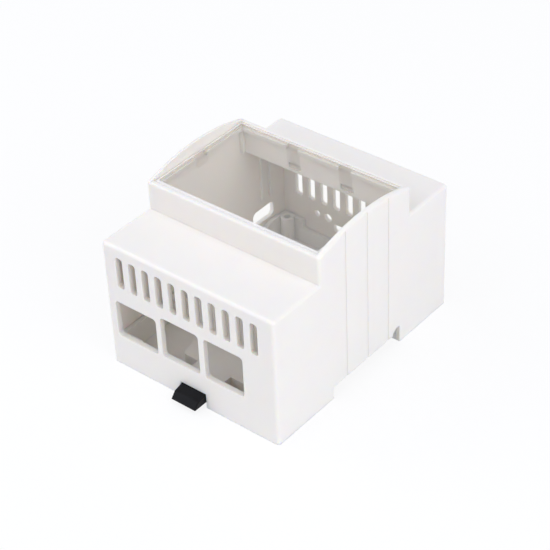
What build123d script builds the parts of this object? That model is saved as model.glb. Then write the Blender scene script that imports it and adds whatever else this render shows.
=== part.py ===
from build123d import *
import os

# DIN rail enclosure for a credit-card single-board computer, all sizes in millimetres.
# +X runs along the rail, +Y from the port face to the rear face, +Z away from the rail.
# The origin is the centre of the rail channel's mouth, in the plane of the feet.

# ---------------------------------------------------------------- cover
width = 70.0                 # along the rail: four 17.5 mm modules
front_reach = 45.8           # rail centre to port face
rear_reach = 44.2            # rail centre to rear face
terrace_height = 48.7        # feet to the terraces on each side of the raised middle
raised_half = 23.4           # rail centre to each riser of the raised middle
rim_height = 59.0            # feet to the rim round the window
arch_rise = 3.8              # how far the side walls arch above the rim
wall = 1.6                   # side, rear, riser and terrace walls
front_wall = 2.0             # the port face is thicker
edge_radius = 1.2            # rounding of the outer edges

vent_count = 11              # the same row of slots in the port face and in the rear face
vent_pitch = 5.5
vent_width = 3.0
vent_length = 12.0
vent_radius = 1.1            # of each slot's corners
front_vent_top = 44.7
front_vent_middle = -0.5
rear_vent_top = 32.2
rear_vent_middle = 1.0

groove_width = 1.4           # three shallow upright grooves on each side face
groove_depth = 0.25
groove_pitch = 11.05

rib_width = 1.0              # upright ribs on the inside of the side walls
rib_depth = 1.0
rib_places = (30.2, 34.6)
rib_foot = 22.0
corner_post = 1.4

# ---------------------------------------------------------------- 35 mm top-hat rail
rail_half = 17.5
rail_clearance = 0.3
rail_ceiling = 4.6           # feet to the face that bears on the rail
flange_gap = 1.2             # room for the 1 mm flange between ceiling and hooks
relief_width = 3.7           # notch that lets the rear flange tilt in
relief_height = 2.2
relief_slope = (1.8, 1.3)

# ---------------------------------------------------------------- board and its openings
board_width = 56.0
board_thickness = 1.5
board_left = -32.9           # the board's edge beside the left wall
board_rear = 42.4            # the board's edge beside the rear wall
hole_inset = 3.5
hole_spacing_y = 58.0
seat_height = 11.8           # feet to the underside of the board
boss_radius = 2.4
screw_hole_radius = 1.25
screw_hole_depth = 5.4

# openings: distance along the board's edge to the middle, width, height, drop below the board's top
network_port = (10.1, 17.4, 14.2, 1.0)
serial_ports = ((28.7, 15.9, 15.8, 0.4), (46.8, 15.9, 15.8, 0.4))
port_radius = 1.4
side_ports = ((11.7, 11.2, 5.7, 0.45), (32.0, 17.0, 8.0, 0.45), (53.5, 8.0, 8.0, 0.45))
side_port_radius = 2.0
card_slot = (28.0, 13.0, 3.3, 2.7)
card_slot_radius = 1.0
indicator_holes = ((14.2, 1.25), (19.0, 1.6))    # distance along the board's edge, radius
indicator_rise = 2.1

# ---------------------------------------------------------------- window seat and lid
seat_depth = 1.4             # rim down to the ledge that carries the lid
ledge_width = 1.4
ledge_thickness = 1.4
lid_clearance = 0.2
lid_chamfer = 0.5
leg_width = 4.7
leg_spacing = 21.6           # between the two legs on the front and rear edges
leg_length = 9.0
leg_thickness = 1.0
barb_reach = 0.7
barb_height = 1.6
side_leg_width = 5.0
side_leg_length = 3.6
recess_depth = 0.8           # the plate's side edges are cut back this far at the short legs
recess_margin = 0.3          # from each side of a leg to the end of its recess
pry_notch_width = 1.3
pry_notch_depth = 0.8
pry_notch_spacing = 23.6

# ---------------------------------------------------------------- tray
fit = 0.15                   # between the tray and the cover's walls
skin = 1.8                   # bottom of both feet
floor_thickness = 2.0        # over the rail and the latch
rim_wall = 1.5
step_wall = 1.6              # between a foot and the rail
side_rim_height = 10.9
end_rim_height = 7.4
rim_corner = 9.0             # the side rims turn this far round each corner
rim_radius = 1.4
crest_feet = (30.5, 41.0)    # the left rim rises between these to meet the boss's top
crest_slopes = (3.5, 4.0)    # length of the rise and of the fall
bead_length = 10.0
bead_height = 1.0
bead_reach = 0.35
bead_drop = 1.6
bead_places = (-31.5, 26.5)
hook_length = 14.0
hook_spacing = 36.0
hook_reach = 1.6
hook_thickness = 1.9
hook_slope = 1.0

# ---------------------------------------------------------------- latch
latch_width = 10.1
latch_thickness = 2.2
latch_clearance = 0.3
latch_travel = 4.0
housing_wall = 1.6
housing_front = 10.4         # port face to the shoulders of the latch housing
arm_spread = 11.0            # middle of the latch to the outside of each sprung arm
arm_thickness = 1.2
head_reach = 0.8             # how far each arm's head stands out of the arm
head_length = 3.0
head_slopes = (0.9, 1.1)     # along Y, at the head's two ends
head_play = 0.2              # from each head's crest to the pocket's corner, across the latch
pocket_flare = 1.75          # how far each side of the pocket flares along the heads' way
lip_width = 3.0
nose_width = 16.0
nose_reach = 1.4             # under the rail's flange
nose_drop = 0.1              # the nose's top lies this much lower than the hooks'
nose_length = 7.4
nose_thickness = 2.2
nose_edge = 0.8
nose_slope = 2.6
tab_reach = 5.2              # how far the tab stands out of the port face
tab_height = 5.4
knee_reach = 3.5             # the tab's top falls gently to its knee, then steeply
knee_height = 4.6
tip_height = 2.5
tab_rounding = 0.5           # of the tab's upper side edges

# ---------------------------------------------------------------- derived dimensions
inner_half = width / 2 - wall
inner_front = -front_reach + front_wall
inner_rear = rear_reach - wall
inner_riser = raised_half - wall
terrace_under = terrace_height - wall
ledge_top = rim_height - seat_depth
leg_foot = ledge_top - leg_length
lid_half_x = inner_half - lid_clearance
lid_half_y = inner_riser - lid_clearance

board_top = seat_height + board_thickness
boss_x = (board_left + hole_inset, board_left + board_width - hole_inset)
boss_y = (board_rear - hole_inset - hole_spacing_y, board_rear - hole_inset)

channel_half = rail_half + rail_clearance
relief_top = rail_ceiling + relief_height
relief_start = channel_half - relief_width
hook_top = rail_ceiling - flange_gap

tray_half = inner_half - fit
tray_front = inner_front + fit
tray_rear = inner_rear - fit
floor_top = rail_ceiling + floor_thickness
bead_z = side_rim_height - bead_drop

latch_top = rail_ceiling - latch_clearance
latch_bottom = latch_top - latch_thickness
latch_shoulder = -channel_half - step_wall - latch_clearance
nose_top = hook_top - nose_drop
nose_bottom = nose_top - nose_thickness
nose_tip = -rail_half + nose_reach
nose_back = nose_tip - nose_length
stem_half = latch_width / 2 + latch_clearance
pocket_half = arm_spread + head_reach + head_play
pocket_front = -front_reach + housing_front + housing_wall
arm_tip = pocket_front + latch_travel + latch_clearance
window_half = pocket_half - lip_width
tab_root = inner_front - latch_clearance


def block(x, y, z):
    """Box between pairs of coordinates."""
    return Pos((x[0] + x[1]) / 2, (y[0] + y[1]) / 2, (z[0] + z[1]) / 2) * Box(
        x[1] - x[0], y[1] - y[0], z[1] - z[0])


def both_sides(inner, outer):
    """The x ranges of a feature and of its mirror image."""
    return (-outer, -inner), (inner, outer)


def along_x(points, half, x=0):
    """Prism of a side-view polygon, reaching half to each side of x."""
    face = make_face(Polyline(*points, close=True))
    return extrude(Plane.YZ.offset(x) * face, half, both=True)


def facing_front(y):
    """Sketch plane of a wall at y, seen from the port face: x to the right, z up."""
    return Plane((0, y, 0), x_dir=(1, 0, 0), z_dir=(0, -1, 0))


# ---------------------------------------------------------------- the cover's features
def cover_outline():
    """Side view of the cover: two terraces, the raised middle and its arched brow."""
    walls = Polyline((raised_half, rim_height), (raised_half, terrace_height),
                     (rear_reach, terrace_height), (rear_reach, 0), (-front_reach, 0),
                     (-front_reach, terrace_height), (-raised_half, terrace_height),
                     (-raised_half, rim_height))
    brow = ThreePointArc((-raised_half, rim_height), (0, rim_height + arch_rise),
                         (raised_half, rim_height))
    return Plane.YZ * make_face(walls + brow)


def outer_edge(edge):
    """True for the edges to round: all but the lower rim and the two inside corners."""
    y, z = abs(edge.center().Y), edge.center().Z
    inside_corner = abs(y - raised_half) < 0.01 and abs(z - terrace_height) < 0.01
    return z > edge_radius and not inside_corner


def cover_shell():
    """Five-sided moulding with rounded outer edges, open below and at the window."""
    outer = extrude(cover_outline(), width / 2, both=True)
    shell = fillet(outer.edges().filter_by(outer_edge), edge_radius)
    inside = (-inner_half, inner_half)
    shell -= block(inside, (inner_front, inner_rear), (-wall, terrace_under))
    shell -= block(inside, (-inner_riser, inner_riser), (terrace_under - wall, rim_height + wall))
    brow_top, past_risers = rim_height + arch_rise + wall, raised_half + wall
    return shell - block(inside, (-past_risers, past_risers), (rim_height, brow_top))


def window_ledge():
    """Ledge round the window that carries the lid, notched where the lid's legs pass."""
    z = (ledge_top - ledge_thickness, ledge_top)
    ring = block((-inner_half, inner_half), (-inner_riser, inner_riser), z)
    ring -= block((-inner_half + ledge_width, inner_half - ledge_width),
                  (-inner_riser + ledge_width, inner_riser - ledge_width), z)
    half = leg_width / 2 + lid_clearance
    for x in (-leg_spacing / 2, leg_spacing / 2):
        ring -= block((x - half, x + half), (-inner_riser, inner_riser), z)
    half = side_leg_width / 2 + lid_clearance
    return ring - block((-inner_half, inner_half), (-half, half), z)


def catch_pockets():
    """Pockets inside the risers that take the barbs of the lid's long legs."""
    half, back = leg_width / 2 + lid_clearance, inner_riser + barb_reach
    z = (leg_foot - lid_clearance, leg_foot + barb_height + lid_clearance)
    cuts = Part()
    for x in (-leg_spacing / 2, leg_spacing / 2):
        cuts += block((x - half, x + half), (-back, back), z)
    return cuts


def vent_row(y, top, middle, depth):
    """Row of upright slots with rounded corners, cut through a wall at y."""
    slot = RectangleRounded(vent_width, vent_length, vent_radius)
    first = middle - (vent_count - 1) / 2 * vent_pitch
    row = Sketch() + [Pos(first + i * vent_pitch, top - vent_length / 2) * slot
                      for i in range(vent_count)]
    return extrude(facing_front(y) * row, depth, both=True)


def port(edge, place, port_size, radius):
    """Rounded opening whose middle lies a distance along the board's edge."""
    w, h, drop = port_size
    return Pos(edge + place, board_top - drop + h / 2) * RectangleRounded(w, h, radius)


def front_ports():
    """Three connector openings in the port face."""
    openings = Sketch() + [port(board_left, place, size, port_radius)
                           for place, *size in (network_port, *serial_ports)]
    return extrude(facing_front(-front_reach) * openings, 2 * front_wall, both=True)


def left_ports():
    """Power, display and audio openings in the left wall, beside the board's long edge."""
    openings = Sketch() + [port(board_rear, -place, size, side_port_radius)
                           for place, *size in side_ports]
    return extrude(Plane.YZ.offset(-width / 2) * openings, 2 * wall, both=True)


def rear_openings():
    """Card slot at the board's short edge and two indicator holes above it."""
    place, *size = card_slot
    cut = Sketch() + port(board_left, place, size, card_slot_radius)
    for place, radius in indicator_holes:
        cut += Pos(board_left + place, board_top + indicator_rise) * Circle(radius)
    return extrude(facing_front(rear_reach) * cut, 2 * wall, both=True)


def rail_channel(half_width):
    """Space of the rail, with the relief that lets the rear flange tilt in."""
    along, down = relief_slope
    return along_x([(-channel_half, -skin), (-channel_half, rail_ceiling), (relief_start, rail_ceiling),
                    (relief_start, relief_top - down), (relief_start + along, relief_top),
                    (channel_half, relief_top), (channel_half, -skin)], half_width)


def inner_ribs():
    """Upright ribs on the side walls below the rear terrace, and posts in the window's corners."""
    ribs = Part()
    for x in both_sides(inner_half - rib_depth, inner_half):
        for y in rib_places:
            ribs += block(x, (y - rib_width / 2, y + rib_width / 2), (rib_foot, terrace_under))
    for x in both_sides(inner_half - corner_post, inner_half):
        for y in both_sides(inner_riser - corner_post, inner_riser):
            ribs += block(x, y, (terrace_under, ledge_top - ledge_thickness))
    return ribs


def side_grooves():
    """Three shallow upright grooves on each outer side face."""
    cuts = Part()
    z = (0, rim_height + arch_rise + wall)
    for x in both_sides(width / 2 - groove_depth, width / 2 + wall):
        for middle in (-groove_pitch, 0, groove_pitch):
            cuts += block(x, (middle - groove_width / 2, middle + groove_width / 2), z)
    return cuts


def snap_grooves():
    """Grooves inside the side walls that take the tray's beads."""
    half_x = inner_half + bead_reach
    half_y, half_z = bead_length / 2 + fit, bead_height / 2 + fit
    cuts = Part()
    for y in bead_places:
        cuts += block((-half_x, half_x), (y - half_y, y + half_y), (bead_z - half_z, bead_z + half_z))
    return cuts


def latch_opening():
    """Notch at the foot of the port face through which the latch's tab stands out."""
    return block((-stem_half, stem_half), (-front_reach - wall, inner_front + wall),
                 (-wall, tab_height + latch_clearance))


def make_cover():
    cover = cover_shell() + window_ledge() + inner_ribs()
    cover -= vent_row(-front_reach, front_vent_top, front_vent_middle, 2 * front_wall)
    cover -= vent_row(rear_reach, rear_vent_top, rear_vent_middle, 2 * wall)
    cover -= front_ports()
    cover -= left_ports()
    cover -= rear_openings()
    cover -= rail_channel(width / 2 + wall)
    cover -= latch_opening()
    cover -= catch_pockets()
    cover -= snap_grooves()
    return cover - side_grooves()


# ---------------------------------------------------------------- the tray's features
def tray_pan():
    """Pan with two deep feet and a floor stepped up over the rail, its rims lower at the ends."""
    top, over_relief = side_rim_height, relief_top + step_wall
    pan = block((-tray_half, tray_half), (tray_front, tray_rear), (0, top))
    front, rear = tray_front + rim_wall, tray_rear - rim_wall
    step, relief = channel_half + step_wall, relief_start - step_wall
    pan -= along_x([(front, top), (front, skin), (-step, skin), (-step, floor_top),
                    (relief, floor_top), (relief, over_relief), (step, over_relief), (step, skin),
                    (rear, skin), (rear, top)], tray_half - rim_wall)
    gap = 2 * (tray_half - rim_corner)
    dip = Pos(0, end_rim_height + top) * RectangleRounded(gap, 2 * top, rim_radius)
    for y in (tray_front, tray_rear):
        pan -= extrude(facing_front(y) * dip, rim_wall, both=True)
    return pan


def rim_crest():
    """Rise of the left rim to the board's underside, in smooth curves, beside the rear boss."""
    low, top = side_rim_height, seat_height
    start, end = crest_feet
    crown = (start + crest_slopes[0], top), (end - crest_slopes[1], top)
    level = (1, 0)
    rise = Spline((start, low), crown[0], tangents=(level, level))
    fall = Spline(crown[1], (end, low), tangents=(level, level))
    foot = Polyline((end, low), (end, end_rim_height), (start, end_rim_height), (start, low))
    return extrude(Plane.YZ.offset(-tray_half) * make_face(rise + Line(*crown) + fall + foot), rim_wall)


def latch_pocket():
    """Plan of the room for the latch's arms: it flares where their heads slide, then runs straight."""
    far, near = pocket_half, pocket_half + pocket_flare
    back, flare_end = -channel_half - step_wall, arm_tip + head_length
    return make_face(Polyline((-far, pocket_front), (far, pocket_front), (near, flare_end), (near, back),
                              (-near, back), (-near, flare_end), close=True))


def latch_housing():
    """T-shaped housing in the front foot: a narrow stem for the tab, a flared head for the arms."""
    stem = block((-stem_half - housing_wall, stem_half + housing_wall),
                 (tray_front, pocket_front), (0, floor_top))
    return stem + extrude(offset(latch_pocket(), housing_wall), floor_top)


def latch_space():
    """Room for the latch inside its housing, open below and at both ends."""
    back = -channel_half - step_wall
    space = extrude(Plane.XY.offset(skin) * latch_pocket(), rail_ceiling - skin)
    space += block((-stem_half, stem_half), (tray_front - rim_wall, pocket_front), (skin, rail_ceiling))
    space += block((-window_half, window_half), (pocket_front + lip_width, back), (-skin, skin))
    half = nose_width / 2 + latch_clearance
    way_out = (back, -channel_half + latch_clearance)
    return space + block((-half, half), way_out, (-skin, nose_top + latch_clearance))


def rail_hooks():
    """Two fixed hooks on the rear foot that reach under the rail's flange."""
    low, tip, root = hook_top - hook_thickness, channel_half - hook_reach, channel_half + step_wall
    outline = [(root, low), (channel_half, low), (tip, low + hook_slope), (tip, hook_top),
               (root, hook_top)]
    return Part() + [along_x(outline, hook_length / 2, x) for x in (-hook_spacing / 2, hook_spacing / 2)]


def standoffs():
    """Four screw bosses for the board, standing on the feet."""
    height = seat_height - skin
    return Part() + [Pos(x, y, skin + height / 2) * Cylinder(boss_radius, height)
                     for x in boss_x for y in boss_y]


def screw_holes():
    """Blind holes for self-tapping screws in the four bosses."""
    return Part() + [Pos(x, y, seat_height - screw_hole_depth / 2)
                     * Cylinder(screw_hole_radius, screw_hole_depth) for x in boss_x for y in boss_y]


def snap_beads():
    """Beads along the tray's side rims that click into the cover's grooves."""
    root, crest, half = tray_half - rim_wall, tray_half + bead_reach, bead_height / 2
    beads = Part()
    for y in bead_places:
        for side in (-1, 1):
            face = make_face(Polyline((side * root, bead_z - half), (side * tray_half, bead_z - half),
                                      (side * crest, bead_z), (side * tray_half, bead_z + half),
                                      (side * root, bead_z + half), close=True))
            beads += extrude(facing_front(y) * face, bead_length / 2, both=True)
    return beads


def make_base():
    base = tray_pan() + rim_crest() + latch_housing() + standoffs() + snap_beads()
    base -= rail_channel(tray_half + rim_wall)
    return base + rail_hooks() - latch_space() - screw_holes()


# ---------------------------------------------------------------- the lid's features
def long_legs():
    """Legs on the front and rear edges whose barbs click into the risers' pockets."""
    inside, outside, top = lid_half_y - leg_thickness, lid_half_y, rim_height - lid_chamfer
    catch = leg_foot + barb_height
    outline = [(inside, top), (outside, top), (outside, catch), (outside + barb_reach, catch),
               (outside, leg_foot), (inside, leg_foot)]
    result = Part()
    for x in (-leg_spacing / 2, leg_spacing / 2):
        for side in (-1, 1):
            result += along_x([(side * y, z) for y, z in outline], leg_width / 2, x)
    return result


def short_legs():
    """Short guide legs in the middle of the two side edges, behind the plate's recesses."""
    z, outside = (ledge_top - side_leg_length, rim_height - lid_chamfer), lid_half_x - recess_depth
    return Part() + [block(x, (-side_leg_width / 2, side_leg_width / 2), z)
                     for x in both_sides(outside - leg_thickness, outside)]


def edge_recesses():
    """Recesses in the plate's side edges that let the short legs flex."""
    half, z = side_leg_width / 2 + recess_margin, (ledge_top, rim_height)
    return Part() + [block(x, (-half, half), z)
                     for x in both_sides(lid_half_x - recess_depth, lid_half_x)]


def pry_notches():
    """Small notches in the side edges for prising the lid out."""
    half = pry_notch_width / 2
    z = (ledge_top - seat_depth, rim_height + seat_depth)
    cuts = Part()
    for x in both_sides(lid_half_x - pry_notch_depth, lid_half_x + lid_clearance):
        for y in (-pry_notch_spacing / 2, pry_notch_spacing / 2):
            cuts += block(x, (y - half, y + half), z)
    return cuts


def make_window():
    plate = block((-lid_half_x, lid_half_x), (-lid_half_y, lid_half_y), (ledge_top, rim_height))
    plate = chamfer(plate.edges().group_by(Axis.Z)[-1], lid_chamfer)
    return plate + long_legs() + short_legs() - edge_recesses() - pry_notches()


# ---------------------------------------------------------------- the latch's features
def latch_arms():
    """Two sprung arms beside the slider, with bevelled heads that slide along the pocket's flare."""
    inner, outer, root = arm_spread - arm_thickness, arm_spread, nose_back + arm_thickness
    crest, head_end = outer + head_reach, arm_tip + head_length
    path = [(inner, root), (inner, arm_tip), (outer, arm_tip), (crest, arm_tip + head_slopes[0]),
            (crest, head_end - head_slopes[1]), (outer, head_end), (outer, root)]
    arms = Part()
    for side in (-1, 1):
        face = make_face(Polyline(*[(side * x, y) for x, y in path], close=True))
        arms += extrude(Plane.XY.offset(latch_bottom) * face, latch_thickness)
    return arms


def pull_tab():
    """Tab in front of the port face: the top falls gently to a knee, then steeply to the tip."""
    tip, knee = -front_reach - tab_reach, -front_reach - knee_reach
    tab = along_x([(tab_root, latch_bottom), (tip, latch_bottom), (tip, tip_height), (knee, knee_height),
                   (-front_reach, tab_height), (tab_root, tab_height)], latch_width / 2)
    sides = tab.edges().group_by(Axis.X)
    upper = [edge for edge in sides[0] + sides[-1]
             if edge.center().Y < tab_root and edge.center().Z > tip_height]
    return fillet(upper, tab_rounding)


def make_rail_latch():
    half = latch_width / 2
    slider = block((-half, half), (-front_reach, latch_shoulder), (latch_bottom, latch_top))
    crossbar = block((-arm_spread, arm_spread), (nose_back, nose_back + 2 * arm_thickness),
                     (latch_bottom, latch_top))
    nose = along_x([(nose_back, nose_bottom), (nose_back, nose_top), (nose_tip, nose_top),
                    (nose_tip, nose_top - nose_edge), (nose_tip - nose_slope, nose_bottom)],
                   nose_width / 2)
    return slider + crossbar + nose + latch_arms() + pull_tab()


# ---------------------------------------------------------------- output
parts = {"cover": make_cover(), "base": make_base(), "window": make_window(),
         "rail_latch": make_rail_latch()}
os.makedirs("parts", exist_ok=True)
for name, solid in parts.items():
    export_step(solid, f"parts/{name}.step")
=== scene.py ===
"""Looks of the DIN rail enclosure: moulded plastics, a clear lid, soft studio light, white ground."""
import math
import bpy
from mathutils import Matrix, Vector


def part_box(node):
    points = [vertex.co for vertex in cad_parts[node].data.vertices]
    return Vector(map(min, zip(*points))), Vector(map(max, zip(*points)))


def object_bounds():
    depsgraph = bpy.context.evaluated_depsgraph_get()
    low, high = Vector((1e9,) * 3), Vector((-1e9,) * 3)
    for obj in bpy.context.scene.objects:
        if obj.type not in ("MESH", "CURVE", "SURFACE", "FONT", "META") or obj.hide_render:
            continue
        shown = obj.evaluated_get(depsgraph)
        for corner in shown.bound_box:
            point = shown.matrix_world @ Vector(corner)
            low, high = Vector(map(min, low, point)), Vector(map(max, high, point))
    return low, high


# Camera: one long lens, above the enclosure's front right corner. Lengths in metres.
LENS_MM = 116.14
SENSOR_MM = 36.0
CAMERA_PLACE = Vector((0.30140, -0.35273, 0.37586))
YAW, PITCH, ROLL = 40.78, 37.26, -2.693          # degrees: about +Z, down, and about the view

# Opaque plastics: linear colours. The finishes are roughness, depth of grain and colour variation.
WHITE = (1.0, 1.0, 1.0)
HOUSING_COLOUR = (0.850, 0.808, 0.742)
HOUSING_FINISH = (0.42, 0.00002, 0.006)
LATCH_COLOUR = (0.007, 0.007, 0.008)
LATCH_FINISH = (0.38, 0.00003, 0.12)
LATCH_GLOSS = 0.10                               # matt black plastic reflects little
ROUGHNESS_SWING = 0.05                           # up and down, along the grain
GRAIN_STRENGTH = 0.35
EDGE_ROUNDING = 0.00025                          # moulded edges that are too small for the frame
GLOW_SHARE = 0.7                                 # of the light that goes into the pale plastic
GLOW_DEPTH = 0.0013                              # how far light spreads inside the pale plastic
GLOW_SPREAD = (1.0, 0.80, 0.50)                  # red light spreads furthest

# Clear lid. Its border carries a painted highlight: a pale matt band painted on its chamfer and top
# edge, in place of the light that a clear sheet carries to its edges.
CLEAR_COLOUR = (0.992, 0.986, 0.973)
CLEAR_GLOSS = 0.05                               # reflected head-on by polycarbonate
EDGE_GLOSS = 0.15                                # share of the gloss on upright edges and legs
GLOSS_RISE = 5.0                                 # how steeply gloss rises towards grazing angles
POLISH = (0.03, 0.07)                            # roughness of the polished faces
CLEAR_HAZE = 0.03                                # scattered by the flat lid
EDGE_HAZE = 0.02                                 # scattered by its edges and legs
HAZE_COLOUR = (0.95, 0.95, 0.94)
# colour of the painted highlight on the lid's border
PAINTED_HIGHLIGHT_COLOUR = (0.95, 0.91, 0.85)
PAINTED_HIGHLIGHT_WIDTH = 0.0010                            # width of the painted highlight on the border, with its chamfer
PAINTED_HIGHLIGHT_DEPTH = 0.0006                            # reaches just below that chamfer
PAINTED_HIGHLIGHT_SHARE = 0.75                              # share of the painted highlight mixed into the border
BARB_REACH = 0.0007                              # how far the barbs stand out past the sheet

# Noise: the size of its grains, and how far it is shifted so that no two patterns match.
NOISE = {
    "flow marks": (0.018, 3.0),
    "spark-eroded grain": (0.00035, 7.0),
    "polishing marks": (0.006, 11.0),
}
NOISE_MIDDLE = (0.3, 0.7)                        # where nearly all of the noise's values lie

# Light: a pale surround and four large soft lamps, placed round the object's middle.
SURROUND = (0.873, 0.897, 1.0)
SURROUND_STRENGTH = 0.55
LAMP_COLOUR = (0.830, 0.884, 1.0)
LAMPS = {                                        # direction from the object, size, watts
    "overhead": ((0.25, -0.10, 1.0), 0.9, 1.9),
    "front": ((-0.35, -1.0, 0.75), 0.9, 3.4),
    "right": ((1.0, -0.15, 0.65), 1.0, 7.5),
    "left": ((-1.0, -0.30, 0.80), 0.9, 4.0),
}
LAMP_DISTANCE = 1.2
FLOOR_SIZE = 6.0
FLOOR_COLOUR = (0.92, 0.91, 0.895)
FLOOR_ROUGHNESS = 0.9
FLOOR_GLOW = 0.85                                # share of plain white that the floor shows


def opaque(colour):
    return tuple(colour) + (1.0,)


class Nodes:
    """The node tree of a material or of the world, with short calls to add and join nodes."""

    def __init__(self, owner):
        owner.use_nodes = True
        self.owner = owner
        self.tree = owner.node_tree
        self.named = self.tree.nodes

    def add(self, kind, **settings):
        """A new node whose properties and unlinked inputs take the given values."""
        node = self.tree.nodes.new(kind)
        for key, value in settings.items():
            if hasattr(node, key):
                setattr(node, key, value)
            else:
                node.inputs[key].default_value = value
        return node

    def join(self, source, target):
        self.tree.links.new(source, target)

    def maths(self, operation, *operands):
        """The result of a math node. Each operand is a number or another node's output."""
        node = self.add("ShaderNodeMath", operation=operation)
        for socket, operand in zip(node.inputs, operands):
            if isinstance(operand, bpy.types.NodeSocket):
                self.join(operand, socket)
            else:
                socket.default_value = operand
        return node.outputs[0]

    def stretch(self, value, old_range, new_range):
        """A value carried from one range to another, and held at its ends."""
        scale = self.add("ShaderNodeMapRange")
        for name, number in zip(("From Min", "From Max", "To Min", "To Max"), old_range + new_range):
            scale.inputs[name].default_value = number
        self.join(value, scale.inputs["Value"])
        return scale.outputs["Result"]

    def blend(self, share, first, second):
        """Two shaders mixed, with the given share of the second."""
        mix = self.add("ShaderNodeMixShader")
        for source, socket in zip((share, first, second), mix.inputs):
            self.join(source, socket)
        return mix.outputs[0]


def noise(nodes, name):
    """One of the noise patterns, in the object's own coordinates."""
    size, start = NOISE[name]
    place = nodes.add("ShaderNodeTexCoord")
    shift = nodes.add("ShaderNodeVectorMath", operation="ADD")
    shift.inputs[1].default_value = (start, start, start)
    pattern = nodes.add("ShaderNodeTexNoise", Scale=1 / size, Detail=3.0, Roughness=0.6)
    nodes.join(place.outputs["Object"], shift.inputs[0])
    nodes.join(shift.outputs[0], pattern.inputs["Vector"])
    return pattern.outputs["Fac"]


def shifted(colour, amount):
    return opaque(min(1.0, channel * amount) for channel in colour)


def moulded_plastic(name, colour, finish):
    """Opaque moulded plastic: spark-eroded grain, faint flow mottling and softened edges."""
    roughness, relief, variation = finish
    nodes = Nodes(bpy.data.materials.new(name))
    shader = nodes.named["Principled BSDF"]
    mottling = nodes.add("ShaderNodeMix", data_type="RGBA")
    mottling.inputs["A"].default_value = shifted(colour, 1 - variation)
    mottling.inputs["B"].default_value = shifted(colour, 1 + variation)
    flow = nodes.stretch(noise(nodes, "flow marks"), NOISE_MIDDLE, (0.0, 1.0))
    nodes.join(flow, mottling.inputs["Factor"])
    nodes.join(mottling.outputs["Result"], shader.inputs["Base Color"])

    grain = noise(nodes, "spark-eroded grain")
    swing = (roughness - ROUGHNESS_SWING, roughness + ROUGHNESS_SWING)
    nodes.join(nodes.stretch(grain, NOISE_MIDDLE, swing), shader.inputs["Roughness"])
    edges = nodes.add("ShaderNodeBevel", samples=4, Radius=EDGE_ROUNDING)
    bump = nodes.add("ShaderNodeBump", Strength=GRAIN_STRENGTH, Distance=relief)
    nodes.join(grain, bump.inputs["Height"])
    nodes.join(edges.outputs["Normal"], bump.inputs["Normal"])
    nodes.join(bump.outputs["Normal"], shader.inputs["Normal"])
    return nodes


def housing_plastic():
    """Pale plastic whose thin walls glow a little where light falls on their other side."""
    nodes = moulded_plastic("housing_plastic", HOUSING_COLOUR, HOUSING_FINISH)
    shader = nodes.named["Principled BSDF"]
    shader.inputs["Subsurface Weight"].default_value = GLOW_SHARE
    shader.inputs["Subsurface Radius"].default_value = GLOW_SPREAD
    shader.inputs["Subsurface Scale"].default_value = GLOW_DEPTH
    return nodes


def latch_plastic():
    nodes = moulded_plastic("latch_plastic", LATCH_COLOUR, LATCH_FINISH)
    nodes.named["Principled BSDF"].inputs["Specular IOR Level"].default_value = LATCH_GLOSS
    return nodes


def sheen_by_angle(nodes):
    """Share of light that a polished face reflects: least head-on, most at a grazing angle."""
    facing = nodes.add("ShaderNodeLayerWeight", Blend=0.5)
    steep = nodes.maths("POWER", facing.outputs["Facing"], GLOSS_RISE)
    return nodes.maths("MULTIPLY_ADD", steep, 1 - CLEAR_GLOSS, CLEAR_GLOSS)


def by_side(nodes, upright, flat):
    """One value on the lid's upright faces and another on its flat ones."""
    place = nodes.add("ShaderNodeTexCoord")
    normal = nodes.add("ShaderNodeSeparateXYZ")
    nodes.join(place.outputs["Normal"], normal.inputs[0])
    return nodes.stretch(nodes.maths("ABSOLUTE", normal.outputs["Z"]), (0.0, 1.0), (upright, flat))


def beyond(nodes, value, limit):
    """1 where the value's size is past the limit, and 0 below it."""
    return nodes.maths("GREATER_THAN", nodes.maths("ABSOLUTE", value), limit)


def painted_highlight_mask(nodes):
    """Mask of the painted highlight: 1 on the chamfer round the lid's sheet and on a narrow border of
    its flat top.
    """
    place = nodes.add("ShaderNodeTexCoord")
    point = nodes.add("ShaderNodeSeparateXYZ")
    normal = nodes.add("ShaderNodeSeparateXYZ")
    nodes.join(place.outputs["Object"], point.inputs[0])
    nodes.join(place.outputs["Normal"], normal.inputs[0])
    half_x, half_y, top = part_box("window")[1]
    sides = beyond(nodes, point.outputs["X"], half_x - PAINTED_HIGHLIGHT_WIDTH)
    ends = beyond(nodes, point.outputs["Y"], half_y - BARB_REACH - PAINTED_HIGHLIGHT_WIDTH)
    upper = beyond(nodes, point.outputs["Z"], top - PAINTED_HIGHLIGHT_DEPTH)
    facing_up = beyond(nodes, normal.outputs["Z"], 0.5)
    outer = nodes.maths("MAXIMUM", sides, ends)
    return nodes.maths("MULTIPLY", outer, nodes.maths("MULTIPLY", upper, facing_up))


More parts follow.
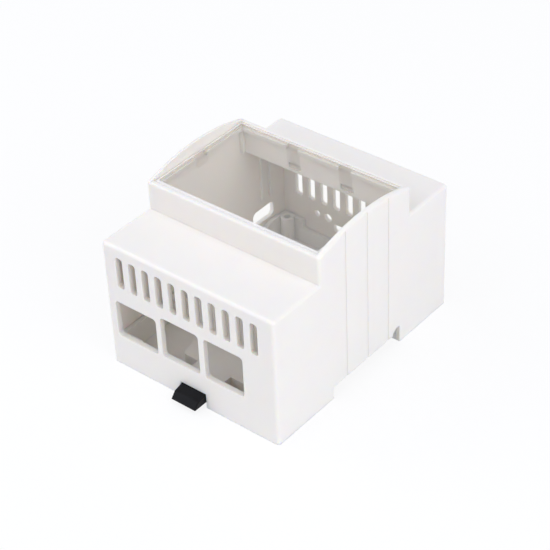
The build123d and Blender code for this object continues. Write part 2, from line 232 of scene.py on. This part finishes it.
def window_plastic():
    """Polished clear sheet: see-through, with a little haze and gloss, and a painted highlight on its
    border.
    """
    nodes = Nodes(bpy.data.materials.new("window_plastic"))
    clear = nodes.add("ShaderNodeBsdfTransparent", Color=opaque(CLEAR_COLOUR))
    haze = nodes.add("ShaderNodeBsdfDiffuse", Color=opaque(HAZE_COLOUR))
    # painted highlight: a pale matt band on the border, in place of light carried to the sheet's edges
    painted_highlight = nodes.add("ShaderNodeBsdfDiffuse", Color=opaque(PAINTED_HIGHLIGHT_COLOUR))
    gloss = nodes.add("ShaderNodeBsdfGlossy", Color=opaque(WHITE))
    marks = noise(nodes, "polishing marks")
    nodes.join(nodes.stretch(marks, NOISE_MIDDLE, POLISH), gloss.inputs["Roughness"])
    sheet = nodes.blend(by_side(nodes, EDGE_HAZE, CLEAR_HAZE), clear.outputs[0], haze.outputs[0])
    painted_highlight_share = nodes.maths("MULTIPLY", painted_highlight_mask(nodes), PAINTED_HIGHLIGHT_SHARE)
    with_painted_highlight = nodes.blend(painted_highlight_share, sheet, painted_highlight.outputs[0])
    sheen = nodes.maths("MULTIPLY", sheen_by_angle(nodes), by_side(nodes, EDGE_GLOSS, 1.0))
    surface = nodes.blend(sheen, with_painted_highlight, gloss.outputs[0])
    nodes.join(surface, nodes.named["Material Output"].inputs["Surface"])
    return nodes


def dress(node, nodes):
    """Gives a CAD node its finished material."""
    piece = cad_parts[node]
    piece.data.materials.clear()
    piece.data.materials.append(nodes.owner)


def seen_rays(nodes):
    """1 for camera, glossy and transmission rays, which see the white ground."""
    rays = nodes.add("ShaderNodeLightPath")
    direct = nodes.maths("MAXIMUM", rays.outputs["Is Camera Ray"], rays.outputs["Is Glossy Ray"])
    return nodes.maths("MAXIMUM", direct, rays.outputs["Is Transmission Ray"])


def floor_material():
    """Matt pale ground that shows mostly plain white and keeps a faint shadow."""
    nodes = Nodes(bpy.data.materials.new("floor"))
    ground = nodes.named["Principled BSDF"]
    ground.inputs["Base Color"].default_value = opaque(FLOOR_COLOUR)
    ground.inputs["Roughness"].default_value = FLOOR_ROUGHNESS
    white = nodes.add("ShaderNodeEmission", Color=opaque(WHITE), Strength=1.0)
    share = nodes.maths("MULTIPLY", seen_rays(nodes), FLOOR_GLOW)
    surface = nodes.blend(share, ground.outputs[0], white.outputs[0])
    nodes.join(surface, nodes.named["Material Output"].inputs["Surface"])
    return nodes.owner


def make_floor(level):
    half = FLOOR_SIZE / 2
    corners = [(-half, -half, level), (half, -half, level), (half, half, level), (-half, half, level)]
    mesh = bpy.data.meshes.new("floor")
    mesh.from_pydata(corners, [], [(0, 1, 2, 3)])
    mesh.materials.append(floor_material())
    floor = bpy.data.objects.new("floor", mesh)
    bpy.context.scene.collection.objects.link(floor)


def make_surround():
    """World light, plain white where the camera, gloss or the lid sees it."""
    world = bpy.data.worlds.new("surround")
    bpy.context.scene.world = world
    nodes = Nodes(world)
    light = nodes.named["Background"]
    light.inputs["Color"].default_value = opaque(SURROUND)
    light.inputs["Strength"].default_value = SURROUND_STRENGTH
    white = nodes.add("ShaderNodeBackground", Color=opaque(WHITE))
    surface = nodes.blend(seen_rays(nodes), light.outputs[0], white.outputs[0])
    nodes.join(surface, nodes.named["World Output"].inputs["Surface"])


def make_lamps(middle):
    for name, (direction, size, watts) in LAMPS.items():
        towards = Vector(direction).normalized()
        lamp = bpy.data.lights.new(name, "AREA")
        lamp.shape = "DISK"
        lamp.size = size
        lamp.energy = watts
        lamp.color = LAMP_COLOUR
        lamp_object = bpy.data.objects.new(name, lamp)
        lamp_object.location = middle + towards * LAMP_DISTANCE
        lamp_object.rotation_euler = towards.to_track_quat("Z", "Y").to_euler()
        bpy.context.scene.collection.objects.link(lamp_object)


def make_camera():
    yaw, pitch, roll = (math.radians(angle) for angle in (YAW, PITCH, ROLL))
    ahead = Vector((-math.sin(yaw) * math.cos(pitch), math.cos(yaw) * math.cos(pitch), -math.sin(pitch)))
    level = Vector((math.cos(yaw), math.sin(yaw), 0))
    upright = level.cross(ahead)
    right = level * math.cos(roll) + upright * math.sin(roll)
    up = upright * math.cos(roll) - level * math.sin(roll)
    lens = bpy.data.cameras.new("camera")
    lens.lens = LENS_MM
    lens.sensor_width = SENSOR_MM
    camera = bpy.data.objects.new("camera", lens)
    turn = Matrix((right, up, -ahead)).transposed().to_4x4()
    camera.matrix_world = Matrix.Translation(CAMERA_PLACE) @ turn
    bpy.context.scene.collection.objects.link(camera)
    bpy.context.scene.camera = camera


def plain_box(bounds):
    return [list(corner) for corner in bounds]


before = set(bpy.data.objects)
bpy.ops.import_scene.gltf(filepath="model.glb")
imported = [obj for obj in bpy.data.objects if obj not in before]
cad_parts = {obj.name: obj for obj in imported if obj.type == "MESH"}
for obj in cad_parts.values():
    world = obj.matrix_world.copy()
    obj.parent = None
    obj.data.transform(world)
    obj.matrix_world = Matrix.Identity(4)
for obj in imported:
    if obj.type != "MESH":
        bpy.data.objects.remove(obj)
cad_box = plain_box(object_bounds())
middle = (Vector(cad_box[0]) + Vector(cad_box[1])) / 2

housing = housing_plastic()
for node in ("cover", "base"):
    dress(node, housing)
dress("window", window_plastic())
dress("rail_latch", latch_plastic())

make_floor(cad_box[0][2])
make_surround()
make_lamps(middle)
make_camera()
bpy.context.scene.view_settings.view_transform = "Standard"
